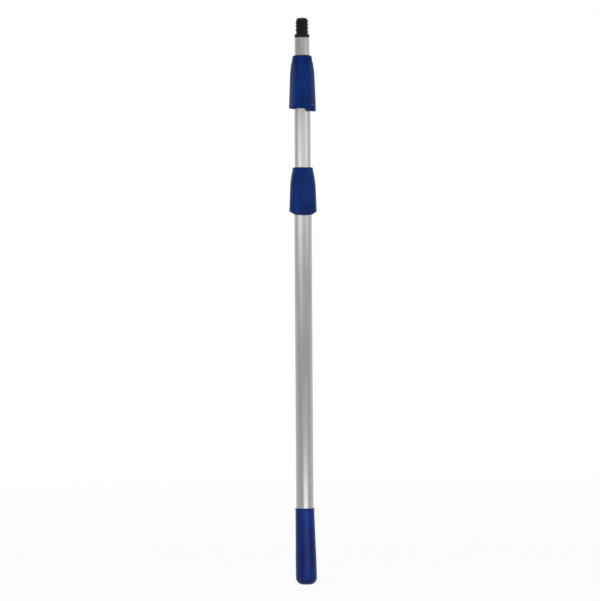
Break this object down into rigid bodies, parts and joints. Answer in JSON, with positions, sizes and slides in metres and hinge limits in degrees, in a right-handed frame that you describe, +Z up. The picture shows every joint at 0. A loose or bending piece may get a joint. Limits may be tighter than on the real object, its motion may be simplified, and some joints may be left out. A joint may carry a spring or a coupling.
{
  "type": "telescopic window cleaning pole",
  "caption": "Telescopic aluminium window cleaning pole with tapered blue twist-lock collars, a blue hand grip and a black screw tip for tools, shown closed.",
  "frame": {"origin": "on the pole's axis, level with the rounded end of the hand grip, which is the pole's lowest point", "axes": "+Z up along the pole towards the screw tip, -Y the front, +X to the right seen from the front"},
  "size_m": [0.056, 0.0561, 1.1424],
  "materials": {
    "tube_aluminium": "drawn and satin anodised, fine lengthwise lines",
    "blue_grip": "navy-cobalt soft grip, satin moulded",
    "blue_collar": "navy-cobalt moulded nylon, satin",
    "black_tip": "black glass-filled nylon",
    "lock_nylon": "dark grey nylon",
    "brake_rubber": "black moulded brake compound",
    "guide_nylon": "natural slippery nylon",
    "rivet_aluminium": "bright drawn",
    "spring_steel": "plain spring steel"
  },
  "bodies": {
    "main": {"main_tube": "tube_aluminium", "hand_grip": "blue_grip", "end_plug": "lock_nylon", "lower_lock_body": "lock_nylon", "lower_lock_rivets": "rivet_aluminium"},
    "lower_twist_collar": {"lower_collar": "blue_collar", "lower_snap_ring": "spring_steel"},
    "lower_shoe_right": {"lower_brake_shoe_right": "brake_rubber"},
    "lower_shoe_left": {"lower_brake_shoe_left": "brake_rubber"},
    "middle_ring": {"middle_guide_ring": "guide_nylon"},
    "middle": {"middle_tube": "tube_aluminium", "middle_foot_plug": "lock_nylon", "middle_foot_pin": "spring_steel", "upper_lock_body": "lock_nylon", "upper_lock_rivets": "rivet_aluminium"},
    "upper_twist_collar": {"upper_collar": "blue_collar", "upper_snap_ring": "spring_steel"},
    "upper_shoe_right": {"upper_brake_shoe_right": "brake_rubber"},
    "upper_shoe_left": {"upper_brake_shoe_left": "brake_rubber"},
    "top_ring": {"top_guide_ring": "guide_nylon"},
    "top": {"top_tube": "tube_aluminium", "top_foot_plug": "lock_nylon", "top_foot_pin": "spring_steel", "threaded_tip": "black_tip", "tip_rivet": "rivet_aluminium"}
  },
  "joints": [
    {"name": "middle_section_slide", "type": "slide", "parent": "main", "child": "middle_ring", "axis": [0, 0, 1], "range_m": [0, 0.63]},
    {"name": "middle_section_spin", "type": "hinge", "parent": "middle_ring", "child": "middle", "pos_m": [0, 0, 0.045], "axis": [0, 0, 1], "continuous": true},
    {"name": "top_section_slide", "type": "slide", "parent": "middle", "child": "top_ring", "axis": [0, 0, 1], "range_m": [0, 0.831]},
    {"name": "top_section_spin", "type": "hinge", "parent": "top_ring", "child": "top", "pos_m": [0, 0, 0.07], "axis": [0, 0, 1], "continuous": true},
    {"name": "lower_collar_twist", "type": "hinge", "parent": "main", "child": "lower_twist_collar", "pos_m": [0, 0, 0.8], "axis": [0, 0, 1], "range_deg": [0, 90]},
    {"name": "upper_collar_twist", "type": "hinge", "parent": "middle", "child": "upper_twist_collar", "pos_m": [0, 0, 1.02], "axis": [0, 0, 1], "range_deg": [0, 90]},
    {"name": "lower_shoe_right_press", "type": "slide", "parent": "main", "child": "lower_shoe_right", "axis": [-1, 0, 0], "range_m": [0, 0.0012]},
    {"name": "lower_shoe_left_press", "type": "slide", "parent": "main", "child": "lower_shoe_left", "axis": [1, 0, 0], "range_m": [0, 0.0012]},
    {"name": "upper_shoe_right_press", "type": "slide", "parent": "middle", "child": "upper_shoe_right", "axis": [-1, 0, 0], "range_m": [0, 0.0012]},
    {"name": "upper_shoe_left_press", "type": "slide", "parent": "middle", "child": "upper_shoe_left", "axis": [1, 0, 0], "range_m": [0, 0.0012]}
  ],
  "couplings": [
    {"joint": "lower_shoe_right_press", "follows": "lower_collar_twist", "m_per_rad": 0.00076394},
    {"joint": "lower_shoe_left_press", "follows": "lower_collar_twist", "m_per_rad": 0.00076394},
    {"joint": "upper_shoe_right_press", "follows": "upper_collar_twist", "m_per_rad": 0.00076394},
    {"joint": "upper_shoe_left_press", "follows": "upper_collar_twist", "m_per_rad": 0.00076394}
  ]
}
